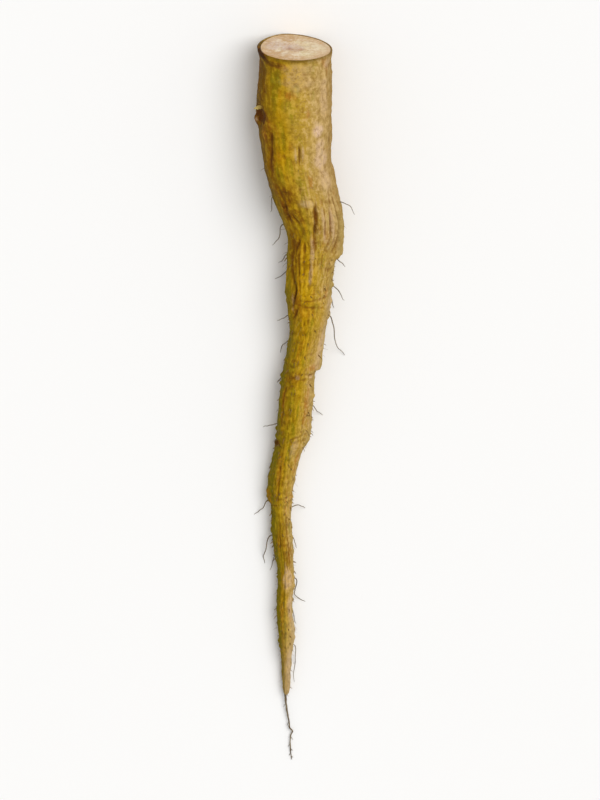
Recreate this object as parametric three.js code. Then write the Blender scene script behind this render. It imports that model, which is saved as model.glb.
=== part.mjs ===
// Salsify root, cut off below its leaves and laid on its side.
// Units are millimetres and +Z is up. The root lies along Y, with the cut crown at +Y and the thin
// end of the taproot at -Y. It grew as one piece, so it is one closed solid: a loft of oval rings
// carried along a crooked centreline, worn flat by a fraction of a millimetre where it rests.
import * as THREE from 'three';

// ---- Driving dimensions ----
const ROOT_LENGTH = 214; // cut face to the end of the thread-like tip
const FLESH_LENGTH = 192; // cut face to where the root thins to a thread
const REST_TRIM = 0.45; // how far the underside is flattened where it touches the surface
const LIP_PROUD = 0.4; // the bark edge of the cut stands out from the neck by this much
const LIP_LENGTH = 2.2; // the lip has died away this far below the cut

// ---- Mesh fineness ----
const SIDES = 32; // points round each ring
const FLESH_STEP = 2.3; // spacing of the rings on the fleshy part
const THREAD_STEP = 1; // spacing of the rings on the thread
const LIP_RINGS = [0, 0.7, 1.5, LIP_LENGTH];
const LEDGE_RING_GAP = 0.45; // spacing of the extra rings where a shoulder breaks off

// Stations down the root, each as
// [distance from the cut, sideways offset, half width, half height, clearance under it].
// A negative clearance is a resting place, which is trimmed flat at the surface.
const STATIONS = [
  [0, 0, 10.0, 10.0, 0.1],
  [8, 0.1, 10.0, 10.0, -REST_TRIM],
  [17, 0, 10.2, 9.9, -REST_TRIM],
  [26, 0.2, 9.9, 9.6, -0.1],
  [33, 0.6, 9.4, 9.3, 0.5],
  [39, 1.9, 9.3, 9.0, 0.7],
  [45.5, 3.3, 8.6, 8.5, 0.5],
  [51.5, 4.2, 7.6, 7.9, 0],
  [57, 4.7, 6.9, 7.4, -REST_TRIM],
  [62, 4.5, 6.7, 6.9, -0.1],
  [70.5, 3.9, 6.2, 6.3, 0.8],
  [79.5, 3.8, 5.5, 5.6, 1.4],
  [85.5, 3.2, 4.6, 4.9, 1.6],
  [94.5, 1.5, 4.25, 4.65, 1.5],
  [103, 0.7, 4.7, 4.7, 1.2],
  [110.5, -0.1, 4.6, 4.5, 0.8],
  [116.5, -0.8, 4.2, 4.2, 0.5],
  [122.5, -2.3, 3.8, 3.8, 0.1],
  [130.5, -3.6, 3.4, 3.5, -REST_TRIM],
  [139.5, -3.7, 2.6, 2.8, 0.1],
  [146.5, -3.4, 2.7, 2.6, 0.5],
  [157, -2.6, 2.1, 2.2, 0.9],
  [168.5, -2.9, 2.1, 2.0, 0.9],
  [177.5, -2.3, 1.9, 1.9, 0.7],
  [183.5, -2.3, 1.3, 1.4, 0.6],
  [FLESH_LENGTH, -2.5, 0.75, 0.8, 0.6],
  [196, -2.5, 0.45, 0.45, 0.6],
  [199, -2.15, 0.38, 0.38, 0.5],
  [203, -1.5, 0.34, 0.34, 0.5],
  [204.4, -1.35, 0.33, 0.33, 0.4],
  [205.3, -0.6, 0.32, 0.32, 0.4],
  [206.4, -1.0, 0.31, 0.31, 0.4],
  [210, -1.2, 0.3, 0.3, 0.3],
  [ROOT_LENGTH, -0.85, 0.28, 0.28, 0.2],
];

// Shoulders swell out on the right-hand side and break off at a ledge. Angles are in degrees,
// measured round the root from +X towards +Z.
const SHOULDERS = [
  { start: 38.5, full: 56, ledge: 61.2, drop: 1.8, proud: 2.0, facing: 2, spread: 42 },
  { start: 79.5, full: 95, ledge: 95, drop: 0.9, proud: 1.7, facing: -4, spread: 45 },
];

// Furrows run lengthwise along the root.
const FURROWS = [
  { start: 44, end: 62, deepest: 0.7, facing: 74, spread: 12 },
  { start: 14, end: 74, deepest: 0.5, facing: 158, spread: 14 },
  { start: 22, end: 118, deepest: 0.45, facing: 236, spread: 18 },
];

// Slow lumps that wind round the root: lobes round the ring, length of one wave along it, phase in
// degrees, and height as a share of the half width.
const LUMPS = [
  { lobes: 2, wave: 74, phase: 30, share: 0.022 },
  { lobes: 3, wave: 47, phase: 140, share: 0.016 },
  { lobes: 1, wave: 21, phase: 250, share: 0.014 },
];

const radians = THREE.MathUtils.degToRad;

// The shape's slow changes down the root, read off a smooth cubic through the stations.
const stationTrack = new THREE.CubicInterpolant(
  STATIONS.map((station) => station[0]),
  STATIONS.flatMap((station) => station.slice(1)),
  4,
);

// 1 on the line that faces the given angle, falling off smoothly to both sides of it.
function facingWeight(angle, facing, spread) {
  const turned = Math.atan2(Math.sin(angle - radians(facing)), Math.cos(angle - radians(facing)));
  return Math.exp(-((turned / radians(spread)) ** 2));
}

// A shoulder's height: a slow rise to full height, then a short drop past its ledge.
function shoulderHeight(shoulder, along) {
  const rise = THREE.MathUtils.smoothstep(along, shoulder.start, shoulder.full);
  const fall = THREE.MathUtils.smoothstep(along, shoulder.ledge, shoulder.ledge + shoulder.drop);
  return shoulder.proud * rise * (1 - fall);
}

// A furrow's depth: nothing at both ends, deepest half way.
function furrowDepth(furrow, along) {
  const share = THREE.MathUtils.clamp((along - furrow.start) / (furrow.end - furrow.start), 0, 1);
  return furrow.deepest * Math.sin(Math.PI * share) ** 2;
}

// How far the skin stands out from the plain oval at a place on the root.
function relief(along, angle, halfWidth) {
  const lip = LIP_PROUD * (1 - THREE.MathUtils.smoothstep(along, 0.6, LIP_LENGTH));
  let outward = lip;
  for (const shoulder of SHOULDERS) {
    const weight = facingWeight(angle, shoulder.facing, shoulder.spread);
    outward += shoulderHeight(shoulder, along) * weight;
  }
  for (const furrow of FURROWS) {
    const weight = facingWeight(angle, furrow.facing, furrow.spread);
    outward -= furrowDepth(furrow, along) * weight;
  }
  const grown = THREE.MathUtils.smoothstep(along, LIP_LENGTH, 5 * LIP_LENGTH);
  for (const lump of LUMPS) {
    const turn = lump.lobes * angle + radians(lump.phase) + (2 * Math.PI * along) / lump.wave;
    outward += grown * lump.share * halfWidth * Math.sin(turn);
  }
  return outward;
}

// One ring of the loft: an oval with the relief added, never lower than the surface.
function ring(along) {
  const [across, halfWidth, halfHeight, clearance] = stationTrack.evaluate(along);
  const middle = clearance + halfHeight;
  const points = [];
  for (let side = 0; side < SIDES; side += 1) {
    const angle = (2 * Math.PI * side) / SIDES;
    const outward = relief(along, angle, halfWidth);
    const x = across + (halfWidth + outward) * Math.cos(angle);
    const z = middle + (halfHeight + outward) * Math.sin(angle);
    points.push(new THREE.Vector3(x, ROOT_LENGTH / 2 - along, Math.max(z, 0)));
  }
  return points;
}

// Where the rings stand: close at the lip and at each ledge, evenly spaced elsewhere.
function ringPlaces() {
  const close = [...LIP_RINGS];
  for (const { ledge, drop } of SHOULDERS) {
    for (let along = ledge - LEDGE_RING_GAP; along < ledge + drop + LEDGE_RING_GAP;
      along += LEDGE_RING_GAP) {
      close.push(along);
    }
  }
  const places = [...close];
  for (let along = LIP_LENGTH + FLESH_STEP; along < FLESH_LENGTH; along += FLESH_STEP) {
    if (close.every((place) => Math.abs(place - along) > FLESH_STEP / 2)) places.push(along);
  }
  for (let along = FLESH_LENGTH; along < ROOT_LENGTH; along += THREAD_STEP) {
    places.push(along);
  }
  places.push(ROOT_LENGTH);
  return places.sort((a, b) => a - b);
}

// The closed solid: bands of triangles between neighbouring rings, and a fan on each end.
function loft(rings) {
  const points = rings.flat();
  const faces = [];
  for (let row = 0; row < rings.length - 1; row += 1) {
    for (let side = 0; side < SIDES; side += 1) {
      const next = (side + 1) % SIDES;
      const here = row * SIDES;
      const below = here + SIDES;
      faces.push(here + side, here + next, below + side);
      faces.push(here + next, below + next, below + side);
    }
  }
  const middleOf = (ends) => ends.reduce((sum, point) => sum.add(point), new THREE.Vector3())
    .divideScalar(ends.length);
  const cutMiddle = points.push(middleOf(rings[0])) - 1;
  const tipMiddle = points.push(middleOf(rings[rings.length - 1])) - 1;
  const tipStart = (rings.length - 1) * SIDES;
  for (let side = 0; side < SIDES; side += 1) {
    const next = (side + 1) % SIDES;
    faces.push(cutMiddle, next, side);
    faces.push(tipMiddle, tipStart + side, tipStart + next);
  }
  const geometry = new THREE.BufferGeometry().setFromPoints(points);
  geometry.setIndex(faces);
  return geometry;
}

const geometry = loft(ringPlaces().map(ring));

// The origin is under the middle of the root's box, on the surface that it lies on.
geometry.computeBoundingBox();
const middle = geometry.boundingBox.getCenter(new THREE.Vector3());
geometry.translate(-middle.x, -middle.y, 0);
geometry.computeVertexNormals();

const skin = new THREE.MeshStandardMaterial({ color: 0xb08a3c, roughness: 0.8, metalness: 0 });
const salsifyRoot = new THREE.Mesh(geometry, skin);
salsifyRoot.name = 'salsify_root';

const group = new THREE.Group();
group.add(salsifyRoot);

export default group;
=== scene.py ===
"""The looks of a salsify root that lies on a pale table, cut off below its leaves.

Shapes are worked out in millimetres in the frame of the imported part: the cut crown is at +Y, the
thread-like tip at -Y, and +Z is up from the table. A place on the root is given by its distance
down from the cut and its facing, the angle round the root in degrees from +X towards +Z.
"""
from types import SimpleNamespace

import bpy
import numpy as np
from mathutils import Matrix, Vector


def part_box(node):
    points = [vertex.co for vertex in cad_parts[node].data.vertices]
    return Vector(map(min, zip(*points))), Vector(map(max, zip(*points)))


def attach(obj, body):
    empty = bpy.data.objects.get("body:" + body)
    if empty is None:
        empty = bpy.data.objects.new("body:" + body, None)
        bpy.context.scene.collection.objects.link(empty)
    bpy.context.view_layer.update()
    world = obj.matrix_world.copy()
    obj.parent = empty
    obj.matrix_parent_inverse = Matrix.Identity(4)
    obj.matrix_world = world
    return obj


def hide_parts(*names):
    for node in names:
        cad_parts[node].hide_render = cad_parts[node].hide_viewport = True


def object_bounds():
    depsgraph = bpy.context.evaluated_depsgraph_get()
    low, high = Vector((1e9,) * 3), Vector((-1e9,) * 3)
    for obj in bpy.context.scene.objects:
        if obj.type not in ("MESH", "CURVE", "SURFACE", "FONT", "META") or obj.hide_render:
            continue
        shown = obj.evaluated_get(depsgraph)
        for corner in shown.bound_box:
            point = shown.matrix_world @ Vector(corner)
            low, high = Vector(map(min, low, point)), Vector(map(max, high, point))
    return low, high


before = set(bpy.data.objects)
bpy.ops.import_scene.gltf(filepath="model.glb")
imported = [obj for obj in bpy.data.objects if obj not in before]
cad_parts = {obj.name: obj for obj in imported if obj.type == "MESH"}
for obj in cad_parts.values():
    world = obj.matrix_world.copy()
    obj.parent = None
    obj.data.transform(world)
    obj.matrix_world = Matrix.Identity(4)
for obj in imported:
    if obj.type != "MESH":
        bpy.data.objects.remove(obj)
CAD_BOX = [list(corner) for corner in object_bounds()]

# ---- Driving sizes, in millimetres ----
MM = 0.001
LOW, HIGH = (np.array(corner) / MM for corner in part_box("salsify_root"))
ROOT_LENGTH = HIGH[1] - LOW[1]
THREAD_LENGTH = 22
FLESH_LENGTH = ROOT_LENGTH - THREAD_LENGTH
SKIN_LENGTH = FLESH_LENGTH + 2.2
REST_TRIM = 0.45
LIP_PROUD = 0.45
LIP_LENGTH = 2.6
CUT_SLANT = 0.9
CUT_LEAN = 0.1
SLANT_REACH = 26
TIP_ROUND = 1.8

# Stations down the root, each as
# [distance from the cut, sideways offset, half width, half height, clearance under it].
STATIONS = np.array([
    [0, 0, 10.0, 10.0, 0.1],
    [8, 0.1, 10.0, 10.0, -REST_TRIM],
    [17, 0, 10.2, 9.9, -REST_TRIM],
    [26, 0.2, 9.9, 9.6, -0.1],
    [33, 0.6, 9.4, 9.3, 0.5],
    [39, 1.9, 9.3, 9.0, 0.7],
    [45.5, 3.3, 8.6, 8.5, 0.5],
    [51.5, 4.2, 7.6, 7.9, 0],
    [57, 4.7, 6.9, 7.4, -REST_TRIM],
    [62, 4.5, 6.7, 6.9, -0.1],
    [70.5, 3.9, 6.2, 6.3, 0.8],
    [79.5, 3.8, 5.5, 5.6, 1.4],
    [85.5, 3.2, 4.6, 4.9, 1.6],
    [94.5, 1.5, 4.25, 4.65, 1.5],
    [103, 0.7, 4.7, 4.7, 1.2],
    [110.5, -0.1, 4.6, 4.5, 0.8],
    [116.5, -0.8, 4.2, 4.2, 0.5],
    [122.5, -2.3, 3.8, 3.8, 0.1],
    [130.5, -3.6, 3.4, 3.5, -REST_TRIM],
    [139.5, -3.7, 2.6, 2.8, 0.1],
    [146.5, -3.4, 2.7, 2.6, 0.5],
    [157, -2.6, 2.1, 2.2, 0.9],
    [168.5, -2.9, 2.1, 2.0, 0.9],
    [177.5, -2.3, 1.9, 1.9, 0.7],
    [183.5, -2.3, 1.3, 1.4, 0.6],
    [FLESH_LENGTH, -2.35, 0.95, 0.95, 0.6],
    [198.5, -2.1, 0.4, 0.4, 0.6],
    [206, -1.4, 0.32, 0.32, 0.5],
    [ROOT_LENGTH, -1.0, 0.28, 0.28, 0.4],
])
CROWN_RADIUS = STATIONS[0, 2]

# Where down the root the bark changes, each from one distance to the other.
GROWN_FROM = (0.5, 5)
RAGGED_FROM = (20, 50)
FIBROUS_FROM = (24, 46)
AGED_FROM = (30, 60)
SMOOTHER_FROM = (60, 96)
TAIL_FROM = (140, 175)

# Shoulders swell out slowly and break off at a ledge, which is slanted round the root: (start, where
# it is full, ledge, slant over the spread, length of the drop, height, facing, spread).
SHOULDERS = [
    (38.5, 56, 60.9, 2.0, 1.4, 2.0, 2, 42),
    (79.5, 95, 95.0, 0.2, 0.5, 1.75, -4, 45),
    (123, 133, 136, 0.4, 0.9, 0.55, 184, 38),
    (108, 117, 118.2, -0.4, 1.2, 0.45, 8, 34),
    (148, 160, 161.5, 0.3, 1.0, 0.3, 10, 40),
    (60, 92, 96.5, 1.0, 1.2, 0.7, 236, 34),
    (20, 62, 66, -1.2, 2.0, 0.6, 292, 30),
]

# Furrows run lengthwise: (path as (distance, facing) pairs, depth, half width, lip height, darkness of
# its painted shade).
FURROWS = [
    ([(40.5, 69), (44, 72), (48, 76), (52, 80.5), (56, 83.5), (59.5, 84.5)], 0.85, 0.6, 0.22, 1.0),
    ([(20.5, 131), (23, 130), (28, 132), (33.5, 138), (38, 140)], 0.45, 0.72, 0.1, 0.95),
    ([(36, 134), (41, 130), (46, 131), (51, 133)], 0.35, 0.55, 0.1, 0.7),
    ([(25.4, 84), (28.5, 84), (32.4, 85)], 0.6, 0.28, 0.14, 1.0),
    ([(31, 87), (36, 90), (41, 94), (46, 98)], 0.2, 0.4, 0.05, 0.2),
    ([(44.5, 134), (47.9, 117), (51, 108), (53, 107), (55.3, 117), (58.3, 127), (61.5, 131)], 0.45, 0.6,
     0.16, 0.85),
    ([(46, 99), (51, 101), (56, 105), (62, 106), (67, 103)], 0.3, 0.42, 0.1, 0.55),
    ([(52, 133), (57, 134), (61, 142), (66, 140), (70, 128), (73, 129)], 0.5, 0.75, 0.12, 0.65),
    ([(68.4, 124), (71.5, 126), (74, 131), (77, 139)], 0.55, 0.5, 0.2, 1.0),
    ([(75, 118), (77, 126), (80, 142)], 0.5, 0.45, 0.14, 0.95),
    ([(45, 34), (49, 26), (54.8, 30), (58, 38), (60.5, 52)], 0.34, 0.4, 0.14, 0.6),
    ([(42, 46), (48, 44), (54, 48), (60, 58)], 0.3, 0.36, 0.12, 0.5),
    ([(47, -4), (54, -6), (61, 6)], 0.3, 0.35, 0.08, 0.4),
    ([(62, 46), (67, 44), (72, 50)], 0.2, 0.35, 0.05, 0.2),
    ([(78, 122), (82, 118), (86, 122), (92, 128)], 0.25, 0.45, 0.06, 0.35),
    ([(80, 68), (86, 62), (93, 58)], 0.2, 0.42, 0.05, 0.15),
    ([(98, 134), (101.5, 138), (104.5, 142), (107.5, 137), (110.5, 142), (114, 139)], 0.34, 0.4, 0.14,
     0.6),
    ([(99, 112), (105, 116), (112, 110)], 0.14, 0.4, 0.04, 0.15),
    ([(99, 66), (107, 60), (115, 62)], 0.22, 0.4, 0.06, 0.3),
    ([(118, 118), (124, 112), (131, 104), (137, 106)], 0.3, 0.36, 0.08, 0.4),
    ([(120, 76), (127, 62), (134, 58)], 0.22, 0.36, 0.05, 0.25),
    ([(137, 106), (144, 104), (152, 110)], 0.25, 0.32, 0.06, 0.35),
    ([(138, 60), (146, 60), (154, 56)], 0.22, 0.3, 0.05, 0.25),
    ([(156, 104), (166, 98), (178, 104)], 0.2, 0.28, 0.05, 0.3),
    ([(3.5, 150), (9, 146), (15, 142)], 0.2, 0.6, 0.05, 0.25),
    ([(12, 205), (30, 214), (52, 206), (72, 216), (90, 208)], 0.5, 0.65, 0.12, 0.4),
    ([(30, 244), (48, 252), (66, 246), (84, 254), (118, 244)], 0.4, 0.55, 0.1, 0.4),
    ([(18, 318), (36, 326), (50, 322), (61, 330)], 0.4, 0.55, 0.1, 0.4),
    ([(64, 330), (80, 322), (98, 326), (122, 316)], 0.35, 0.5, 0.08, 0.35),
    ([(5, 20), (13, 14), (24, 18), (34, 10)], 0.2, 0.6, 0.05, 0.15),
    ([(8, 280), (22, 276), (40, 284), (58, 278)], 0.35, 0.6, 0.08, 0.35),
    ([(25, 200), (34, 194), (43, 197), (52, 193)], 0.3, 0.45, 0.1, 0.4),
    ([(64, 192), (73, 197), (84, 193)], 0.26, 0.4, 0.08, 0.35),
    ([(99, 196), (108, 191), (116, 195)], 0.22, 0.36, 0.07, 0.3),
]

# Combs are bands of fine strands along a wandering line: (path, reach, spacing, height).
COMBS = [
    ([(41, 34), (46, 30), (52, 32), (57, 40), (61.5, 52)], 4.4, 1.4, 0.15),
    ([(44, 12), (50, 4), (56, 6), (61.5, 12)], 3.6, 1.2, 0.12),
    ([(50, 118), (56, 122), (62, 124), (68, 120), (72, 116)], 3.6, 1.15, 0.14),
    ([(58, 72), (64, 66), (71, 62)], 3.0, 1.2, 0.1),
    ([(20, 124), (28, 122), (36, 122), (44, 118)], 3.0, 1.3, 0.07),
    ([(77, 96), (84, 90), (93, 88)], 3.6, 1.15, 0.07),
    ([(97, 96), (106, 92), (115, 90)], 3.4, 1.2, 0.045),
    ([(118, 96), (127, 84), (136, 84)], 2.6, 0.95, 0.09),
    ([(137, 84), (146, 84), (158, 84), (172, 82)], 1.9, 0.8, 0.07),
    ([(14, 244), (34, 250), (54, 246), (72, 250)], 6.0, 1.5, 0.1),
    ([(70, 232), (90, 236), (116, 230)], 3.6, 1.1, 0.08),
    ([(34, 330), (48, 326), (61, 334)], 4.0, 1.4, 0.1),
    ([(9, 194), (26, 198), (44, 192), (60, 197)], 4.6, 1.3, 0.09),
    ([(68, 194), (90, 198), (118, 192)], 3.4, 1.05, 0.08),
]

# Ridges stand out lengthwise: (path, height, half width).
RIDGES = [
    ([(52, 85), (56, 88), (61, 88), (66, 85), (69, 84)], 0.42, 0.5),
    ([(44, 85), (49, 90), (54, 92), (58, 93)], 0.3, 0.4),
    ([(45.5, 112), (49, 103), (52.5, 97), (57, 93)], 0.36, 0.5),
    ([(42.5, 60), (47, 62), (52, 64), (58, 70)], 0.3, 0.4),
    ([(43, 34), (48, 36), (54, 43), (59, 56)], 0.32, 0.42),
    ([(45, 22), (50, 18), (56, 24), (60, 40)], 0.25, 0.35),
    ([(54, 115), (61, 114), (68, 112)], 0.35, 0.6),
    ([(70, 112), (74, 126), (77, 144), (79.5, 164)], 0.75, 0.45),
    ([(58, 60), (64, 56), (70, 58)], 0.22, 0.6),
    ([(118, 100), (124, 88), (130, 74), (136, 76)], 0.28, 0.45),
    ([(98, 92), (107, 88), (115, 86)], 0.25, 0.7),
    ([(137, 82), (144, 81), (149, 84)], 0.25, 0.5),
    ([(152, 84), (164, 78), (178, 80)], 0.18, 0.4),
    ([(170, 2), (174, 4), (178, 12)], 0.35, 0.4),
]

# Creases run round the root: (distance, slant over the crease, bow of its ends, first facing, last
# facing, depth, half width, darkness of its painted shade). A depth below zero is a raised ring.
CREASES = [
    (72.2, 0.5, 0, 16, 128, -0.3, 0.4, 0),
    (73.2, 0.5, 0, 16, 128, 0.3, 0.38, 0.72),
    (74.2, -0.2, 0, 18, 128, -0.24, 0.38, 0),
    (75.4, -0.8, 0, 20, 132, 0.3, 0.45, 0.7),
    (92.6, -1.2, 0, 124, 176, -0.18, 0.4, 0),
    (93.6, -1.2, 0, 124, 176, 0.18, 0.34, 0.5),
    (95.2, 0.6, 0, 20, 84, 0.16, 0.3, 0.3),
    (116.8, -2.0, 0, 122, 200, 0.6, 0.42, 0.95),
    (92.8, 0.1, -1.3, 96, 150, -0.16, 0.26, 0),
    (93.7, 0.1, -1.4, 92, 152, 0.14, 0.24, 0.4),
    (94.6, 0.2, -1.5, 90, 156, -0.16, 0.26, 0),
    (95.5, 0.3, -1.4, 86, 156, 0.14, 0.24, 0.45),
    (114.2, 0.7, -0.5, 24, 128, -0.2, 0.3, 0),
    (114.9, 0.7, -0.5, 24, 128, 0.18, 0.24, 0.45),
    (113.2, 0.5, 0.6, 30, 78, 0.12, 0.2, 0.35),
    (112.2, 0.4, 0.6, 26, 70, 0.1, 0.2, 0.3),
    (116.1, 0.4, 0.5, 34, 96, 0.12, 0.22, 0.3),
    (4.6, 0.3, 0, 40, 110, 0.06, 0.3, 0.1),
    (11.4, 0.2, 0, 60, 112, 0.06, 0.25, 0.12),
    (12.6, 0.4, 0, 50, 112, 0.07, 0.25, 0.15),
    (13.9, 0.3, 0, 58, 104, 0.06, 0.25, 0.12),
    (16.4, -0.5, 0, 44, 104, 0.08, 0.3, 0.12),
    (24.8, 0.6, 0, 30, 96, 0.07, 0.3, 0.12),
    (33.4, -0.6, 0, 56, 118, 0.08, 0.3, 0.15),
    (38.4, 0.7, 0, 40, 116, 0.1, 0.3, 0.15),
    (56, 0.5, 0, 190, 260, 0.3, 0.4, 0.4),
    (88, -0.6, 0, 200, 320, 0.25, 0.35, 0.35),
    (104, 0.5, 0, 20, 90, 0.1, 0.3, 0.15),
    (110, -0.5, 0, 80, 160, 0.12, 0.3, 0.2),
    (136.4, 0.6, 0, 80, 190, 0.2, 0.3, 0.35),
    (148, -0.4, 0, 60, 140, 0.1, 0.3, 0.2),
    (6.8, 0.4, 0, 168, 246, 0.1, 0.3, 0.2),
    (14.2, -0.5, 0, 164, 250, 0.14, 0.32, 0.3),
    (27.4, 0.5, 0, 166, 242, 0.2, 0.36, 0.45),
    (35.2, -0.4, 0, 164, 254, 0.14, 0.32, 0.3),
    (50.6, 0.6, 0, 168, 250, 0.22, 0.38, 0.5),
    (66.4, -0.5, 0, 166, 260, 0.2, 0.34, 0.45),
    (84.2, 0.4, 0, 168, 246, 0.14, 0.3, 0.35),
]

# Knots stand up and pits go in, below zero: (distance, facing, length, breadth, height).
KNOTS = [
    (0, 220, 4.5, 4.8, -0.85),
    (8, 180, 5.5, 6, -0.4),
    (18.9, 158, 4.6, 4.6, 0.35),
    (18.7, 157, 2.2, 2.4, -1.35),
    (20.7, 169, 1.2, 1.2, 1.25),
    (20.8, 168, 0.55, 0.55, -0.55),
    (43.2, 83, 0.8, 1.3, 0.4),
    (44.6, 130, 0.8, 0.8, -0.5),
    (48.0, 131, 1.0, 0.8, -0.35),
    (42.4, 116, 0.8, 1.2, -0.3),
    (70.2, 10, 0.8, 0.9, 0.5),
    (79.0, 6, 1.0, 1.0, 0.45),
    (75.2, 14, 1.6, 1.3, 0.4),
    (91.9, 122, 0.6, 0.9, -0.2),
    (96.6, 96, 0.5, 0.6, 0.4),
    (96.8, 44, 0.5, 0.6, 0.4),
    (96.6, 112, 0.6, 0.7, -0.35),
    (98.3, 128, 0.6, 0.6, 0.3),
    (96.9, 67, 0.5, 0.6, -0.25),
    (97.4, 176, 0.7, 0.7, 0.6),
    (99.4, 172, 0.7, 0.7, 0.5),
    (99.8, 30, 0.6, 0.6, 0.35),
    (115.4, 172, 0.7, 0.7, 0.5),
    (117.4, 166, 0.9, 1.0, -0.6),
    (117.8, 186, 0.7, 0.8, 0.5),
    (134.2, 176, 1.4, 0.9, 0.4),
    (144.6, 176, 0.7, 0.6, 0.3),
    (147.4, 104, 0.5, 0.5, -0.2),
    (177.6, 178, 0.6, 0.5, 0.35),
    (161, 20, 0.7, 0.6, 0.3),
    (58, 228, 1.2, 1.1, 0.5),
    (41, 268, 1.0, 1.0, 0.4),
    (83, 300, 1.0, 1.0, 0.45),
]

# Warts crowd round the root at its old nodes: (distance, spread along the root, count).
WARTS = [(76, 2.2, 40), (96.6, 1.2, 70), (114.6, 1.4, 60), (134.6, 1.2, 40), (161, 2.5, 30)]
WART_SIZE = 0.75
WART_HEIGHT = 1.7
PIMPLE_COUNT = 1500
PIMPLE_SEED = 7
PIMPLE_SIZES = (0.28, 0.75)
PIMPLE_HEIGHTS = (-0.12, 0.26)
PIMPLE_REACH = 2.2

# Patches of colour: (distance, facing, length, breadth, strength). Stains are brown, blushes pale
# pink, mosses olive green and rusts orange.
STAINS = [
    # the first stain darkens the left end of the cut's rim: painted shade
    (0.9, 160, 1.6, 4.0, 1.0),
    (1.9, 132, 1.1, 4.2, 0.75),
    (18.9, 155, 3.4, 3.6, 1.0),
    (20.8, 169, 2.1, 2.0, 0.95),
    (23, 136, 4.4, 1.8, 0.7),
    (30, 134, 8, 1.3, 0.85),
    (24, 144, 9, 4.0, 0.35),
    (36.6, 136, 2.0, 1.8, 0.6),
    (40.4, 119, 3.2, 3.0, 0.85),
    (44.8, 130, 1.8, 1.5, 0.9),
    (48.2, 128, 2.4, 1.7, 0.85),
    (40.5, 126, 5, 4.2, 0.72),
    (47.4, 112, 2.8, 2.2, 0.8),
    (48.4, 75.5, 5.4, 0.75, 0.85),
    (55.6, 83, 3.0, 0.7, 0.85),
    (61, 88, 8.5, 0.55, 0.35),
    (56.6, 130, 2.8, 1.9, 0.74),
    (61, 132, 2.4, 1.7, 0.74),
    (144, 76, 7, 1.5, 0.4),
    (151, 66, 5, 1.6, 0.55),
    (39, 106, 3.4, 2.6, 0.5),
    # the next two darken the left edge by the crown: painted shade
    (8, 172, 9, 1.7, 0.74),
    (10, 154, 12, 1.8, 0.45),
    (60, 138, 9, 1.8, 0.6),
    (73.5, 128, 3.0, 1.3, 0.8),
    (77.4, 128, 2.0, 1.3, 0.7),
    (75, 108, 1.0, 2.6, 0.5),
    (91.9, 122, 0.6, 0.9, 0.7),
    # darker in the pit between the warts: painted shade
    (97, 112, 1.8, 2.4, 0.6),
    (117.4, 172, 1.2, 2.2, 1.0),
    (117.0, 152, 0.8, 1.6, 0.7),
    (147, 108, 2.4, 1.2, 0.6),
    (62.4, 26, 0.9, 3.0, 0.3),
    (96.0, 24, 0.8, 2.0, 0.3),
    (57, 36, 5, 1.0, 0.4),
    (40, 300, 9, 4, 0.4),
    (72, 220, 8, 3, 0.5),
    (104, 250, 9, 2, 0.4),
]
BLUSHES = [
    (22.6, 50, 2.4, 2.2, 1.0),
    (27, 46, 3.4, 2.0, 0.6),
    (18.2, 156, 0.8, 0.9, 0.4),
    (20.7, 167, 0.75, 0.8, 0.9),
    (31, 44, 3.8, 2.6, 0.65),
    (36, 40, 5, 2.6, 0.4),
    (43.2, 84, 1.4, 2.0, 0.5),
    (28.8, 90, 3.0, 0.45, 0.5),
    (28.2, 78.5, 3.2, 0.5, 0.55),
    (61, 88, 8.5, 0.55, 0.52),
    (50, 61, 6, 0.5, 0.5),
    (51, 42, 6, 0.5, 0.45),
    (76, 16, 3.4, 1.5, 0.9),
    (87, 24, 8, 1.2, 0.6),
    # the next two light the tops of warts: painted highlight
    (96.6, 96, 0.5, 0.6, 0.6),
    (96.8, 44, 0.5, 0.6, 0.6),
    (94.2, 28, 0.6, 0.7, 0.5),
    (74.6, 136, 2.6, 0.5, 0.6),
    (2.6, 26, 1.8, 2.0, 0.5),
    (5.5, 84, 5, 4.2, 0.3),
    (13, 38, 6, 2.0, 0.35),
    (118, 78, 3.0, 1.0, 0.35),
    (158.5, 72, 4.5, 1.4, 0.65),
    (166.5, 40, 5, 1.1, 0.5),
    (174, 10, 6, 0.9, 0.8),
    (184, 50, 6, 1.2, 0.5),
]
MOSSES = [
    (8.4, 122, 5.4, 1.9, 0.85),
    (23, 112, 5.0, 1.3, 0.6),
    (35.5, 122, 4.0, 1.6, 0.75),
    (45, 104, 3.6, 1.6, 0.5),
    (72, 148, 16, 1.4, 0.7),
    (88, 136, 9, 1.6, 0.6),
    (113.5, 104, 3.4, 1.8, 0.6),
    (128, 122, 5, 1.2, 0.6),
    (93.8, 122, 2.4, 2.2, 0.75),
    (103.5, 104, 5, 1.9, 0.7),
    (115, 140, 2.6, 1.4, 0.5),
    (141, 118, 7, 0.9, 0.6),
    (152, 104, 5, 1.0, 0.5),
    (60, 330, 12, 3, 0.4),
]
RUSTS = [
    (2.0, 118, 1.0, 3.0, 0.6),
    (11.2, 98, 1.5, 1.9, 0.75),
    (20.8, 130, 1.8, 2.2, 0.75),
    (24, 146, 2.4, 1.8, 0.85),
    (44.6, 132, 1.6, 1.4, 0.8),
    (60, 116, 6, 1.0, 0.5),
    (22.6, 116, 2.0, 0.9, 0.5),
    (77, 92, 2.0, 2.0, 0.4),
    (103.6, 140, 3.4, 0.7, 0.9),
    (109, 140, 2.6, 0.6, 0.85),
    (103, 56, 3.4, 0.9, 0.6),
    (108.6, 50, 3.0, 0.6, 0.5),
    (94, 44, 0.8, 2.0, 0.55),
    (124.6, 110, 7.5, 0.8, 0.8),
    (134.2, 158, 2.6, 0.9, 0.85),
    (168, 110, 3.0, 0.6, 0.6),
    (90, 106, 5, 0.8, 0.35),
]


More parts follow.
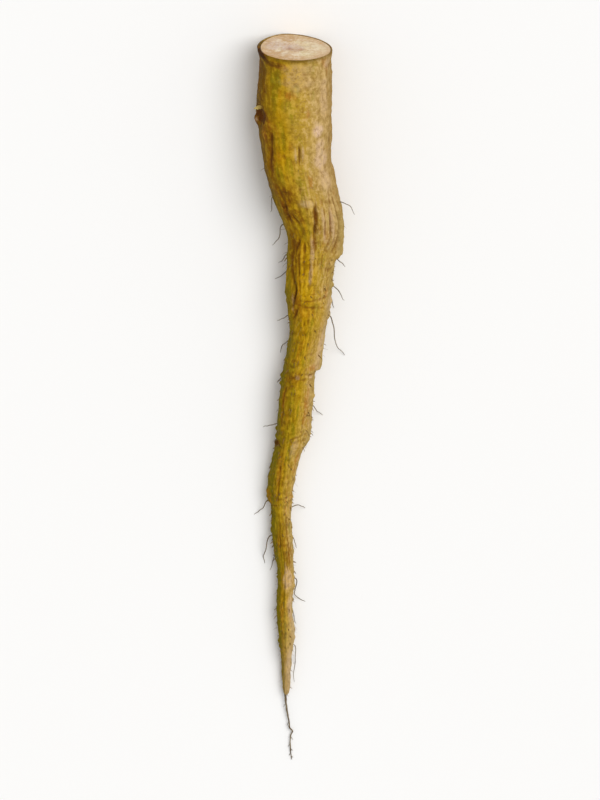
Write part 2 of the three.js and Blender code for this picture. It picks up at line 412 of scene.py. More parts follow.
# ---- Numbers on a grid ----
def smoothstep(low, high, value):
    """0 up to low, 1 from high on, and 3t^2 - 2t^3 between them."""
    share = np.clip((value - low) / (high - low), 0, 1)
    return share * share * (3 - 2 * share)


def smooth_track(knots, values, at):
    """A smooth line through the values: between two knots, the cubic that leaves each of them with
    the slope of the values there."""
    slopes = np.gradient(values, knots, axis=0)
    at = np.clip(at, knots[0], knots[-1])
    first = np.clip(np.searchsorted(knots, at, side="right") - 1, 0, len(knots) - 2)
    width = knots[first + 1] - knots[first]
    share = (at - knots[first]) / width
    if values.ndim > 1:
        share, width = share[..., None], width[..., None]
    rest = 1 - share
    return (values[first] * (1 + 2 * share) * rest ** 2
            + values[first + 1] * (3 - 2 * share) * share ** 2
            + slopes[first] * width * share * rest ** 2
            - slopes[first + 1] * width * share ** 2 * rest)


def turned(angle, facing):
    """The angle from facing to angle, the short way round, from -pi to pi."""
    return (angle - facing + np.pi) % (2 * np.pi) - np.pi


def channels(*fields):
    """The fields of one grid, each a number at every place, stacked as its last axis."""
    return np.stack(np.broadcast_arrays(*fields), axis=-1)


def unit(directions):
    """The directions at length 1."""
    return directions / np.linalg.norm(directions, axis=-1, keepdims=True)


def lattice_noise(points, seed):
    """Smooth noise from -1 to 1: a fixed random value at every whole-number corner of space, blended
    across each cell with the weight 3t^2 - 2t^3 along each axis."""
    cell = np.floor(points).astype(np.int64)
    share = points - cell
    share = share * share * (3 - 2 * share)
    total = np.zeros(points.shape[:-1])
    for corner in np.ndindex(2, 2, 2):
        key = (cell + corner) @ np.array([374761393, 668265263, 2147483647]) + seed * 974634777
        key = (key ^ (key >> 13)) * 3266489917 & 0xFFFFFFFF
        key = (key ^ (key >> 16)) * 668265263 & 0xFFFFFFFF
        weight = np.prod(np.where(corner, share, 1 - share), axis=-1)
        total += weight * (key / 2 ** 31 - 1)
    return total


def layered_noise(points, seed, layers):
    """Noise at layers scales: each layer is twice as fine as the last and half as strong."""
    return sum(lattice_noise(points * 2 ** layer, seed + layer) / 2 ** layer
               for layer in range(layers))


def noise_along(place, seed):
    """Noise down a line, one cell to a unit of the place."""
    return lattice_noise(channels(place, 0 * place, 0 * place), seed)


def softened(field, times):
    """A field on the skin's grid, each point averaged with its neighbours down and round the root,
    as many times as given."""
    for _ in range(times):
        padded = np.pad(field, ((1, 1), (0, 0)), mode="edge")
        field = (padded[:-2] + 2 * field + padded[2:]) / 4
        field = (np.roll(field, 1, 1) + 2 * field + np.roll(field, -1, 1)) / 4
    return field


# ---- The root's own shape ----
def cut_setback(x, z):
    """How far down the root the slanted cut lies from a square one: in proportion to the height, and
    to the place from side to side, a fifth as much at the top as at the table."""
    up = z / HIGH[2]
    return CUT_SLANT * up + CUT_LEAN * (1 - 0.8 * up) * x


def oval(along):
    """Sideways offset, half width, half height and clearance at distances down the root."""
    return np.moveaxis(smooth_track(STATIONS[:, 0], STATIONS[:, 1:], along), -1, 0)


def shoulder_relief(along, angle, ragged):
    """Each shoulder is a slow rise times a short drop past its ledge, times a bell round the root.
    The ledge is slanted and ragged: it moves up and down the root by the ragged distance given."""
    relief = 0
    for start, full, ledge, slant, drop, proud, facing, spread in SHOULDERS:
        off = turned(angle, np.radians(facing)) / np.radians(spread)
        edge = ledge + slant * np.clip(off, -1, 1) + ragged
        rise = smoothstep(start, full, along)
        fall = smoothstep(edge, edge + drop, along)
        relief = relief + proud * rise * (1 - fall) * np.exp(-off ** 2)
    return relief


# Noises in the bark: (cells to the root's radius, length of a cell down it, seed, layers).
BARK_NOISES = {
    "strands": (4.2, 17, 11, 3),
    "fibres": (9, 8, 23, 2),
    "wrinkles": (1.5, 1.4, 31, 2),
    "swells": (1.6, 9, 41, 2),
    "lumps": (3.2, 2.4, 53, 3),
    "grit": (12, 0.8, 59, 1),
    "ragged": (5, np.inf, 61, 1),
    "notches": (2.6, 0.9, 89, 1),
    "uneven": (2, 3, 67, 1),
}
TWIST = 0.12
TWIST_LENGTH = 21
LINE_END = 0.4
FURROW_LIP_AT = 1.8
CREASE_LIP_AT = 1.9
CREASE_LIP = 0.35


def bark_grid(along, angle):
    """What the relief reads at each place of the skin: the distance down the root, the angle round
    it, its girth as a radius, and every one of BARK_NOISES. The noises are read on a cylinder, so
    that they join up round the root, and twist a little down it."""
    _, half_width, half_height, _ = oval(along)
    twist = angle + TWIST * np.sin(along / TWIST_LENGTH)
    turn = channels(np.cos(twist), np.sin(twist), along)
    noises = {name: layered_noise(turn * [cells, cells, 1 / length], seed, layers)
              for name, (cells, length, seed, layers) in BARK_NOISES.items()}
    return SimpleNamespace(along=along, angle=angle, turn=turn,
                           girth=(half_width + half_height) / 2, **noises)


def line_weight(bark, path, half_width):
    """Where a place lies on a wandering lengthwise line: the line's weight there, and the distance
    from it in half widths. The weight is 1 along the line and fades smoothly to 0 over a quarter of
    it at each end, and the line narrows with it to LINE_END of its width."""
    knots = np.array([place for place, _ in path], float)
    facing = smooth_track(knots, np.radians([facing for _, facing in path]), bark.along)
    fade = (knots[-1] - knots[0]) / 4
    weight = (smoothstep(knots[0], knots[0] + fade, bark.along)
              * (1 - smoothstep(knots[-1] - fade, knots[-1], bark.along)))
    narrowed = half_width * (LINE_END + (1 - LINE_END) * weight)
    return weight, turned(bark.angle, facing) * bark.girth / narrowed


def furrow_relief(bark):
    """Furrows are bells cut into the skin, deeper and shallower along their way, with a low narrow
    bell raised at FURROW_LIP_AT half widths on each side. Returns the relief and the painted shade
    that each place gets in the furrows, from 0 to 1."""
    relief, dark = 0, 0
    for path, depth, half_width, lip, darkness in FURROWS:
        weight, off = line_weight(bark, path, half_width)
        cut = weight * np.exp(-off ** 2) * (0.75 + 0.4 * bark.uneven)
        raised = weight * np.exp(-2 * (np.abs(off) - FURROW_LIP_AT) ** 2)
        relief = relief - depth * cut + lip * raised
        dark = np.maximum(dark, darkness * smoothstep(0.05, 0.8, cut))
    return relief, dark


def ridge_relief(bark):
    """Ridges are bells raised along wandering lines."""
    relief = 0
    for path, height, half_width in RIDGES:
        weight, off = line_weight(bark, path, half_width)
        relief = relief + height * weight * np.exp(-off ** 2)
    return relief


def comb_relief(bark):
    """Combs are cosines across a wandering line, at the spacing given. They fade away from it as a
    bell and wobble a little along their way."""
    relief = 0
    wobble = bark.swells + 0.5 * bark.uneven
    for path, reach, spacing, height in COMBS:
        weight, off = line_weight(bark, path, reach)
        phase = 2 * np.pi * off * (LINE_END + (1 - LINE_END) * weight) * reach / spacing
        relief = relief + height * weight * np.exp(-off ** 2) * np.cos(phase + 2.2 * wobble)
    return relief


def crease_relief(bark):
    """Creases are bells cut round the root between two angles, with a low bell raised at
    CREASE_LIP_AT half widths on the crown's side. Each is slanted, bowed with the square of the
    distance from its middle, wanders with the swells and is deeper and shallower on its way.
    Returns the relief and the painted shade that each place gets in the creases, from 0 to 1."""
    relief, dark = 0, 0
    for place, slant, bow, start, end, depth, half_width, darkness in CREASES:
        middle, reach = np.radians((start + end) / 2), np.radians((end - start) / 2)
        off_middle = turned(bark.angle, middle) / reach
        fade = 1 - smoothstep(0.3, 1, np.abs(off_middle))
        centre = place + slant * off_middle + bow * off_middle ** 2 + 0.3 * bark.swells
        off = (bark.along - centre) / (half_width * (0.5 + 0.5 * fade))
        cut = fade * np.exp(-off ** 2) * np.clip(0.85 + 0.6 * bark.uneven, 0.2, 1)
        raised = fade * np.exp(-(off + CREASE_LIP_AT) ** 2)
        relief = relief - depth * cut + CREASE_LIP * depth * raised
        dark = np.maximum(dark, darkness * smoothstep(0.05, 0.9, cut))
    return relief, dark


def spot(bark, place, facing, length, breadth):
    """A round bell on the skin: e to the power of minus the squared distance, which is counted in
    lengths down the root and in breadths round it."""
    across = turned(bark.angle, np.radians(facing)) * bark.girth / breadth
    return np.exp(-((bark.along - place) / length) ** 2 - across ** 2)


def pimples(bark):
    """Hundreds of little raised spots and pits, half as broad again as long and higher down the
    root, and the warts. Each is a bell that is worked out only on the rows near it."""
    draw = np.random.default_rng(PIMPLE_SEED)
    scattered = 4 + (SKIN_LENGTH - 10) * draw.random(PIMPLE_COUNT) ** 0.8
    crowded = [draw.normal(place, spread, count) for place, spread, count in WARTS]
    places = np.concatenate([scattered, *crowded])
    wart = np.arange(len(places)) >= len(scattered)
    facings = draw.uniform(0, 2 * np.pi, len(places))
    sizes = draw.uniform(*PIMPLE_SIZES, len(places)) * np.where(wart, WART_SIZE, 1)
    heights = draw.uniform(*PIMPLE_HEIGHTS, len(places)) * (0.55 + 0.6 * smoothstep(20, 110, places))
    heights = heights * np.where(wart, WART_HEIGHT, 1)
    along = np.maximum.accumulate(bark.along)
    relief = np.zeros((len(along), bark.angle.shape[1]))
    for place, facing, size, height in zip(places, facings, sizes, heights):
        reach = PIMPLE_REACH * size
        first, last = np.searchsorted(along[:, 0], [place - reach, place + reach])
        if last - first < 2:
            continue
        rows = slice(first, last)
        across = turned(bark.angle, facing) * bark.girth[rows] / (1.5 * size)
        relief[rows] += height * np.exp(-((along[rows] - place) / size) ** 2 - across ** 2)
    return relief * np.minimum(1, bark.girth / 3.5)


def bark_relief(bark):
    """How far the bark stands off the plain oval: the sum of the shoulders, the lip round the cut,
    every listed furrow, crease, ridge, comb and knot, the pimples, and the noises, which are weaker
    on the smooth bark by the cut and stronger where it is fibrous. Returns the relief and the painted
    shade in the furrows and creases, from 0 to 1."""
    along = bark.along
    slim = bark.girth / CROWN_RADIUS
    grown, ragged, fibrous, aged, smoother, tail = (
        smoothstep(start, full, along) for start, full in (
            GROWN_FROM, RAGGED_FROM, FIBROUS_FROM, AGED_FROM, SMOOTHER_FROM, TAIL_FROM))
    fibrous = fibrous * (1 - 0.45 * smoother)
    furrows, furrow_shade = furrow_relief(bark)
    creases, crease_shade = crease_relief(bark)
    lip = LIP_PROUD * (0.6 + 0.4 * np.cos(bark.angle) ** 2) * np.exp(-(along / LIP_LENGTH) ** 2)
    relief = shoulder_relief(along, bark.angle, 0.7 * bark.ragged * ragged)
    relief = relief + lip + furrows + creases + ridge_relief(bark) + comb_relief(bark)
    relief = relief + (0.3 + 0.7 * grown) * (0.4 * slim * bark.swells
                                             + (0.15 + 0.05 * tail) * bark.lumps * slim ** 0.2)
    relief = relief + 0.17 * tail * bark.notches
    relief = relief + grown * ((0.1 + 0.18 * fibrous) * slim ** 0.5 * (0.5 - np.abs(bark.strands))
                               + (0.035 + 0.06 * fibrous) * slim ** 0.5 * bark.fibres
                               + 0.075 * (1 - 0.5 * aged) * bark.wrinkles
                               + (0.03 + 0.04 * fibrous) * bark.grit)
    for place, facing, length, breadth, height in KNOTS:
        relief = relief + height * spot(bark, place, facing, length, breadth)
    return relief + grown * pimples(bark), np.maximum(furrow_shade, crease_shade)


def patches(bark, listed):
    """Patches of colour: the strongest of the listed spots at each place. A smooth step sharpens
    each spot's bell, which the lumps make uneven."""
    strongest = 0
    for place, facing, length, breadth, strength in listed:
        bell = spot(bark, place, facing, length, breadth)
        strongest = np.maximum(strongest, strength * smoothstep(0.2, 0.75, bell + 0.25 * bark.lumps))
    return strongest


SKIN_ROWS = 500
SKIN_COLUMNS = 192
SKIN_NUMBERS = ("painted_relief_shading", "stain", "blush", "moss", "rust", "flank", "under", "down", "rind")
HOLLOW_DEPTH = 0.27
HOLLOW_SPREAD = 9

# The first rows turn the bark over the edge of the cut: (distance from it, how far in from the skin).
# Where the rim is worn, a bell round the root, it turns over by twice as much.
RIM_ROWS = np.array([[1.0, 3.0], [1.0, 0.62], [0.4, 0.52], [0.12, 0.42], [0.0, 0.28], [0.02, 0.1]])
WORN_FACING = 186
WORN_BREADTH = 5


def skin_rows():
    """Distances down the root, closer together where it is slimmer: the gap between two goes with
    the square root of the girth."""
    fine = np.linspace(0.25, SKIN_LENGTH, 4000)
    _, half_width, half_height, _ = oval(fine)
    passed = np.cumsum((half_width + half_height) ** -0.5)
    return np.interp(np.linspace(passed[0], passed[-1], SKIN_ROWS), passed, fine)


def skin_grid():
    """The skin as rings of points with what the finish reads at each, shaped (rows, columns, 15):
    place, unrolled place, then SKIN_NUMBERS. The relief is added to the oval's half width and half
    height, the tip is blunt as a quarter of a circle, and nothing goes below the table. The relief
    shading is painted shade where the relief lies below the average of its surroundings and in the
    furrows and creases, and painted highlight where it stands above it. The rind is the brown edge of
    the cut, wider and darker where the rim is worn at its left end, and there it is painted shade."""
    along = np.concatenate([RIM_ROWS[:, 0], skin_rows()])[:, None]
    inset = np.concatenate([RIM_ROWS[:, 1], np.zeros(SKIN_ROWS)])[:, None]
    angle = np.linspace(0, 2 * np.pi, SKIN_COLUMNS, endpoint=False)[None]
    bark = bark_grid(along, angle)
    relief, groove_shade = bark_relief(bark)
    worn = np.exp(-(turned(angle, np.radians(WORN_FACING)) * CROWN_RADIUS / WORN_BREADTH) ** 2)
    inset = inset * (1 + worn)

    across, half_width, half_height, clearance = oval(along)
    blunt = np.sqrt(1 - np.clip((along - SKIN_LENGTH + TIP_ROUND) / TIP_ROUND, 0, 0.985) ** 2)
    x = across + (half_width + relief - inset) * blunt * np.cos(angle)
    z = clearance + half_height + (half_height + relief - inset) * blunt * np.sin(angle)
    y = HIGH[1] - along - cut_setback(x, z) * (1 - smoothstep(0, SLANT_REACH, along))
    # painted shade where the relief lies below the average of its surroundings, painted highlight where
    # it stands above it
    painted_relief_shading = np.clip((softened(relief, HOLLOW_SPREAD) - relief) / HOLLOW_DEPTH, -1, 0.75)
    # the brown rind round the cut: wider and darker where the rim is worn at its left end, which is
    # painted shade
    rind = ((0.5 + 0.4 * worn + 0.08 * np.sin(angle) + 0.25 * bark.uneven)
            * (1 - smoothstep(0.25 + 0.5 * worn, 1.3 + worn, along)))
    unrolled = np.moveaxis(bark.turn * [CROWN_RADIUS, CROWN_RADIUS, 1], -1, 0)
    colours = [patches(bark, listed) for listed in (STAINS, BLUSHES, MOSSES, RUSTS)]
    return channels(x, y, np.maximum(z, 0), *unrolled, np.maximum(painted_relief_shading, groove_shade), *colours,
                    np.cos(angle), -np.sin(angle), along / ROOT_LENGTH, rind)


def closed_tubes(rings):
    """Closed bodies from stacks of rings shaped (bodies, rows, sides, channels), the first three of
    which are the place. Neighbouring rings are joined by two triangles a side, and a fan to its
    mean point closes each end. Faces point outwards where a ring turns from its normal to its
    binormal as the path goes forward. Returns the points with their channels, and the faces."""
    bodies, rows, sides, count = rings.shape
    ends = rings[:, [0, -1]].mean(axis=2)
    points = np.concatenate([rings.reshape(bodies, rows * sides, count), ends], axis=1)
    side = np.arange(sides)
    after = (side + 1) % sides
    here = np.arange(rows - 1)[:, None] * sides
    below = here + sides
    band = channels(here + side, here + after, below + side, here + after, below + after, below + side)
    first_end, last_row = rows * sides, (rows - 1) * sides
    first_fan = channels(first_end, after, side)
    last_fan = channels(first_end + 1, last_row + side, last_row + after)
    faces = np.concatenate([band.reshape(-1, 3), first_fan, last_fan])
    faces = faces[None] + (np.arange(bodies) * (first_end + 2))[:, None, None]
    return points.reshape(-1, count), faces.reshape(-1, 3)


def sweep(paths, normals, thick, broad, sides):
    """Rings of an oval carried along each path, with the half thickness along the normal and the
    half breadth across it that the arrays give. Paths and normals are shaped (bodies, rows, 3)."""
    forward = unit(np.gradient(paths, axis=1))
    across = unit(np.cross(forward, normals))
    upright = np.cross(across, forward)
    turn = np.linspace(0, 2 * np.pi, sides, endpoint=False)[None, None, :, None]
    return (paths[:, :, None] + upright[:, :, None] * np.cos(turn) * thick[:, :, None, None]
            + across[:, :, None] * np.sin(turn) * broad[:, :, None, None])


def skin_point(along, angle, lift):
    """A point lifted off the plain skin, with its shoulders but no finer relief, and the direction
    outward from it."""
    along, angle, lift = np.broadcast_arrays(np.asarray(along, float), angle, lift)
    across, half_width, half_height, clearance = oval(along)
    relief = shoulder_relief(along, angle, 0) + lift
    point = channels(across + (half_width + relief) * np.cos(angle), HIGH[1] - along,
                     clearance + half_height + (half_height + relief) * np.sin(angle))
    return point, channels(np.cos(angle), 0.0, np.sin(angle))


# ---- The cut face ----
FACE_RIM_ROW = 2
FACE_ROWS = 90
FACE_HUB = 0.012
FACE_SUNK = 0.12
FACE_FLAT_FROM = 0.93
CAMBIUM_RADIUS = 2.2
CORTEX_RADIUS = 8.4
FACE_NUMBERS = ("radius", "core_front", "pinkish", "tanned", "creamy")

# The last rows go down inside the bark and back underneath: (share of the way out, how far sunk).
TUCKED_ROWS = np.array([[1, 0.7], [0.6, 0.75], [0.1, 0.75]])

# Clouds of colour on the cut: (place to the side, place up, half width, half height, strength).
PINKISH_CLOUDS = [(-5, -0.8, 4.2, 4.6, 1.0)]
TANNED_CLOUDS = [(-6.4, 6, 3.6, 3.4, 1.0), (-2.4, -6.2, 4.8, 3.4, 1.1)]
CREAMY_CLOUDS = [(6, -0.5, 3.4, 4.2, 1.0)]


def face_clouds(side, up, clouds):
    """The listed clouds added up, each a bell on the cut."""
    return sum(strength * np.exp(-((side - at_side) / wide) ** 2 - ((up - at_up) / high) ** 2)
               for at_side, at_up, wide, high, strength in clouds)


def ring_line(radius, at, width):
    """A bell over the radius, which draws a ring."""
    return np.exp(-((radius - at) / width) ** 2)


def cut_face_grid(rim):
    """The cut flesh as rings shaped (rows, columns, 11): place, unrolled place, then FACE_NUMBERS.
    The rings run out from the middle to the rim of the bark, down inside it and back underneath.
    The flesh falls away from the middle as the square of the way out, and is flat at the rim. It
    has rays, strokes left by the knife, a dimple at the core and fine grooves round the cambium and
    the cortex."""
    share = np.concatenate([np.linspace(FACE_HUB, 1, FACE_ROWS), TUCKED_ROWS[:, 0]])[:, None]
    sunk = np.concatenate([np.zeros(FACE_ROWS), TUCKED_ROWS[:, 1]])[:, None]
    angle = np.linspace(0, 2 * np.pi, rim.shape[0], endpoint=False)[None]
    middle = rim.mean(axis=0)
    place = middle + share[..., None] * (rim[None] - middle)
    radius = share * np.linalg.norm(rim - middle, axis=-1)[None]
    side, up = place[..., 0] - middle[0], place[..., 2] - middle[2]

    unrolled = channels(CROWN_RADIUS * np.cos(angle), CROWN_RADIUS * np.sin(angle), radius)
    rays = layered_noise(unrolled * [0.9, 0.9, 0.22], 71, 2)
    flesh = layered_noise(place[..., [0, 2, 2]] * [0.9, 0.9, 0], 73, 3)
    strokes = layered_noise(channels(side * 0.12, (side * 0.35 + up) * 2.4, 0 * side), 79, 2)
    cambium = CAMBIUM_RADIUS + 0.3 * lattice_noise(unrolled * [0.2, 0.2, 0], 83)
    relief = (0.16 * (1 - share ** 2) + 0.05 * rays * smoothstep(1, 4, radius) + 0.05 * flesh
              + 0.045 * strokes - 0.1 * ring_line(radius, cambium, 0.28)
              - 0.07 * ring_line(radius, 0, 0.9) - 0.05 * ring_line(radius, CORTEX_RADIUS, 0.3))
    relief = relief * (1 - smoothstep(FACE_FLAT_FROM, 1, share)) * (sunk == 0)
    y = HIGH[1] - FACE_SUNK - sunk + relief - cut_setback(place[..., 0], place[..., 2])

    front = smoothstep(-0.3, 0.75, np.sin(angle - 0.12))
    core_front = ring_line(radius, cambium, 0.4 + 0.6 * front) * front * (1 + 0.15 * flesh)
    pinkish = smoothstep(0.2, 0.8, face_clouds(side, up, PINKISH_CLOUDS) + 0.3 * flesh)
    tanned = smoothstep(0.25, 0.8, face_clouds(side, up, TANNED_CLOUDS)
                        + 0.55 * smoothstep(4.0, 8.3, up) + 0.3 * flesh + 0.2 * rays)
    creamy = smoothstep(0.2, 0.8, face_clouds(side, up, CREAMY_CLOUDS) + 0.3 * flesh)
    return channels(place[..., 0], y, place[..., 2], *np.moveaxis(unrolled, -1, 0),
                    radius, core_front, pinkish, tanned, creamy)


# ---- Rootlets and the thread ----
# Side rootlets: (distance, facing, radius where it leaves the skin, way points as (out, down)).
ROOTLETS = [
    (43.8, 178, 0.16, [(0.3, 2.6), (0.9, 5.8)]),
    (52.7, 180, 0.19, [(1.1, 3.5), (2.75, 7.3)]),
    (61.9, 181, 0.17, [(0.9, 1.4), (2.1, 3.2)]),
    (79.4, 178, 0.16, [(1.2, 0.9), (3.1, 2.6)]),
    (97.8, 178, 0.26, [(0.8, 1.0), (1.5, 2.3)]),
    (112, 180, 0.17, [(2.0, 0.8), (4.2, 2.0)]),
    (135.4, 182, 0.18, [(1.6, 3.2), (4.4, 5.6)]),
    (145.7, 178, 0.2, [(1.9, 5.2), (3.0, 7.9), (2.2, 9.6)]),
    (177.5, 180, 0.14, [(0.3, 0.7), (0.5, 1.5)]),
    (45.4, 4, 0.16, [(2.8, 1.8), (4.2, 4.7)]),
    (62.6, -2, 0.19, [(1.2, 1.4), (2.9, 3.9)]),
    (70.4, 6, 0.19, [(2.2, 2.3), (3.9, 5.6)]),
    (79.2, 4, 0.2, [(1.1, 2.9), (1.8, 7.0), (4.0, 14.6)]),
    (114.6, 0, 0.15, [(0.5, 0.7), (0.9, 1.6)]),
    (137.6, 2, 0.18, [(1.5, -0.5), (4.2, 1.2)]),
    (146.3, 0, 0.15, [(0.7, 2.2), (1.5, 4.2)]),
    (158.5, 2, 0.18, [(0.7, 6.2), (2.8, 8.5)]),
    (178.6, 0, 0.13, [(0.4, 5.0), (0.7, 12.0)]),
    (49, 262, 0.17, [(1.5, 2.5), (3.0, 7.0)]),
    (66, 236, 0.17, [(2.0, 2.0), (3.6, 5.5)]),
    (74, 318, 0.16, [(2.0, 2.4), (3.8, 6.0)]),
    (88, 214, 0.17, [(1.6, 1.4), (3.4, 5.0)]),
    (107, 336, 0.16, [(1.4, 1.8), (3.4, 4.4)]),
    (124, 222, 0.15, [(1.2, 2.0), (2.8, 5.2)]),
    (152, 208, 0.14, [(1.0, 2.4), (2.2, 5.4)]),
    (168, 330, 0.13, [(0.8, 2.2), (1.8, 5.6)]),
]
ROOTLET_SEED = 5
ROOTLET_ROWS = 22
ROOTLET_SIDES = 7
ROOTLET_SUNK = 0.5
ROOTLET_SLIMMED = 0.85
ROOTLET_SAG = 0.5
HAIR_SUNK = 0.3
HAIR_OFF_TABLE = 0.02

# Short hairs: (count, seed, rows, sides, lengths, radii, first distance, spread down the root). The
# spread is the power of a random share of the way down: below 1 crowds them towards the tip.
STUBS = (260, 17, 7, 6, (0.3, 1.1), (0.12, 0.24), 60, 1.0)
HAIRS = (320, 19, 6, 5, (0.3, 1.6), (0.03, 0.06), 30, 0.9)

# The thread: (distance beyond the flesh, sideways offset, height, radius), and its twigs: (distance
# beyond the flesh, reach to the side, reach down).
THREAD = np.array([
    [-3, -2.35, 1.5, 0.42],
    [1.5, -2.6, 1.35, 0.36],
    [4, -2.5, 1.1, 0.3],
    [7, -2.15, 0.9, 0.24],
    [11, -1.5, 0.8, 0.22],
    [12.4, -1.35, 0.78, 0.21],
    [13.3, -0.6, 0.72, 0.19],
    [14.4, -1.0, 0.66, 0.18],
    [18, -1.2, 0.5, 0.16],
    [THREAD_LENGTH, -0.85, 0.35, 0.1],
]) + [FLESH_LENGTH, 0, 0, 0]
THREAD_TWIGS = np.array([
    (1.5, 0.8, 1.3), (5, -0.7, 1.0), (10.6, -0.6, 1.2), (12.9, 0.5, 0.7), (15.2, 0.7, 0.9),
    (17.4, -0.6, 0.8), (18.8, 0.6, 0.6), (20.2, -0.5, 0.7), (21, 0.5, 0.5),
]) + [FLESH_LENGTH, 0, 0]
THREAD_ROWS = 90
THREAD_SIDES = 10
TWIG_ROWS = 8
TWIG_SIDES = 6
TWIG_RADIUS = 0.1
DOWN_THE_ROOT = np.array([0, -1, 0])


def least_axis(chords):
    """For each chord, the axis that it leans along least, which is safe to cross it with."""
    return np.eye(3)[np.argmin(np.abs(chords), axis=-1)]


def hair_rings(paths, root_radius, sides, taper=0.55):
    """Round hairs along the paths. They thin to 0.3 of their radius as what is left of the way to
    the power taper, and never reach below the table."""
    share = np.linspace(0, 1, paths.shape[1])[None]
    radius = np.asarray(root_radius)[:, None] * (0.3 + 0.7 * (1 - share) ** taper)
    paths[..., 2] = np.maximum(paths[..., 2], radius + HAIR_OFF_TABLE)
    chord = paths[:, -1] - paths[:, 0]
    normals = unit(np.cross(chord, least_axis(chord))[:, None] + np.zeros_like(paths))
    return sweep(paths, normals, radius, radius, sides)


def rootlet_rings():
    """Each side rootlet leaves the skin square, follows a smooth line through its way points, sags
    with the square of the way along, and waves as sines that grow on the way."""
    draw = np.random.default_rng(ROOTLET_SEED)
    share = np.linspace(0, 1, ROOTLET_ROWS)
    paths = []
    for place, facing, _, way in ROOTLETS:
        start, outward = skin_point(place, np.radians(facing), -ROOTLET_SUNK)
        way = [(out + ROOTLET_SUNK, down) for out, down in way]
        way = np.array([(0, 0), (ROOTLET_SUNK, 0.05), *way], float)
        knots = np.concatenate([[0], np.cumsum(np.linalg.norm(np.diff(way, axis=0), axis=1))])
        length = knots[-1]
        out, down = smooth_track(knots, way, share * length).T
        bend, shiver, heave, _ = draw.uniform(0, 2 * np.pi, 4)
        wave = 0.045 * length * share * np.sin(7 * share + bend)
        ripple = 0.02 * length * share * np.sin(19 * share + shiver)
        height = 0.05 * length * share * np.sin(6 * share + heave) - ROOTLET_SAG * length * share ** 2
        side = np.array([0, 0, 1]) if abs(outward[2]) < 0.8 else np.array([1, 0, 0])
        paths.append(start + outward * (out + wave)[:, None]
                     + DOWN_THE_ROOT * (down + ripple)[:, None] + side * height[:, None])
    radii = [ROOTLET_SLIMMED * radius for _, _, radius, _ in ROOTLETS]
    return hair_rings(np.array(paths), radii, ROOTLET_SIDES)


def short_hair_rings(count, seed, rows, sides, lengths, radii, from_place, spread_down):
    """Short hairs scattered over the skin. Each goes straight out, and bends down the root and a
    little to one side with the square of the way along."""
    draw = np.random.default_rng(seed)
    place = from_place + (FLESH_LENGTH - from_place) * draw.random(count) ** spread_down
    angle = draw.uniform(0, 2 * np.pi, count)
    length = draw.uniform(*lengths, count)
    radius = draw.uniform(*radii, count) * np.clip(oval(place)[1] / 2.2, 0.5, 1)
    start, outward = skin_point(place, angle, -HAIR_SUNK)
    down = draw.uniform(0.1, 1.3, count)[:, None] * DOWN_THE_ROOT
    lean = draw.normal(0, 0.35, count)[:, None] * channels(-np.sin(angle), 0.0, np.cos(angle))
    share = np.linspace(0, 1, rows)[None, :, None]
    reach = 0.35 + length
    step = outward[:, None] * share + (down[:, None] + lean[:, None]) * share ** 2
    return hair_rings(start[:, None] + reach[:, None, None] * step * 0.8, radius, sides, 0.7)


def thread_rings():
    """The thread follows a smooth line through its stations. Noise makes it waver from side to side
    and thicker and thinner."""
    place = np.linspace(THREAD[0, 0], THREAD[-1, 0], THREAD_ROWS)
    across, height, radius = smooth_track(THREAD[:, 0], THREAD[:, 1:], place).T
    waver = 0.05 * noise_along(place * 0.9, 91)
    path = channels(across + waver, HIGH[1] - place, height)[None]
    normals = np.zeros_like(path) + [1, 0, 0]
    radius = (radius * (1 + 0.16 * noise_along(place * 2.2, 97)))[None]
    return sweep(path, normals, radius, radius, THREAD_SIDES)


def twig_rings():
    """Little twigs of the thread: each leaves it sideways, droops by a fifth of its reach and bends
    down the root, as the way along to the power 1.6."""
    place, out, down = THREAD_TWIGS.T
    across, height, _ = smooth_track(THREAD[:, 0], THREAD[:, 1:], place).T
    start = channels(across, HIGH[1] - place, height)
    share = np.linspace(0, 1, TWIG_ROWS)[None, :, None]
    step = (channels(out, 0.0, -0.2 * np.abs(out))[:, None] * share
            + (down[:, None] * DOWN_THE_ROOT)[:, None] * share ** 1.6)
    return hair_rings(start[:, None] + step, np.full(len(out), TWIG_RADIUS), TWIG_SIDES)


# ---- The peeled flake of bark ----
FLAKE_ROWS = 40
FLAKE_SIDES = 14
FLAKE_PLACE = (15.3, 18.4)
FLAKE_FACINGS = (138, 181)
FLAKE_LIFT = 0.95
FLAKE_BREADTH = 0.8
FLAKE_THICKNESS = 0.12
FLAKE_NUMBERS = ("free",)


def flake_rings():
    """A tongue of bark that starts under the skin and lifts off it as the way along to the power
    1.2, so that its broad side leans towards the crown. It is ragged and narrows to a point. Each
    point's channels are its place, the same place again for the finish, and how far along it is."""
    share = np.linspace(0, 1, FLAKE_ROWS)
    place = FLAKE_PLACE[0] + (FLAKE_PLACE[1] - FLAKE_PLACE[0]) * share
    angle = np.radians(FLAKE_FACINGS[0] + (FLAKE_FACINGS[1] - FLAKE_FACINGS[0]) * share)
    lift = FLAKE_LIFT * share ** 1.2 - 0.3 * (1 - share) ** 4
    point, outward = skin_point(place, angle, lift)
    leaning = outward - 0.5 * share[:, None] * DOWN_THE_ROOT
    ragged = 0.86 + 0.12 * np.sin(13 * share + 1) + 0.08 * np.sin(37 * share)
    breadth = FLAKE_BREADTH * (1 - share ** 1.4) ** 0.7 * ragged + 0.04
    thickness = FLAKE_THICKNESS * (1 - 0.5 * share)
    rings = sweep(point[None], leaning[None], thickness[None], breadth[None], FLAKE_SIDES)
    free = np.broadcast_to(share[None, :, None, None], (*rings.shape[:3], 1))
    return np.concatenate([rings, rings, free], axis=-1)


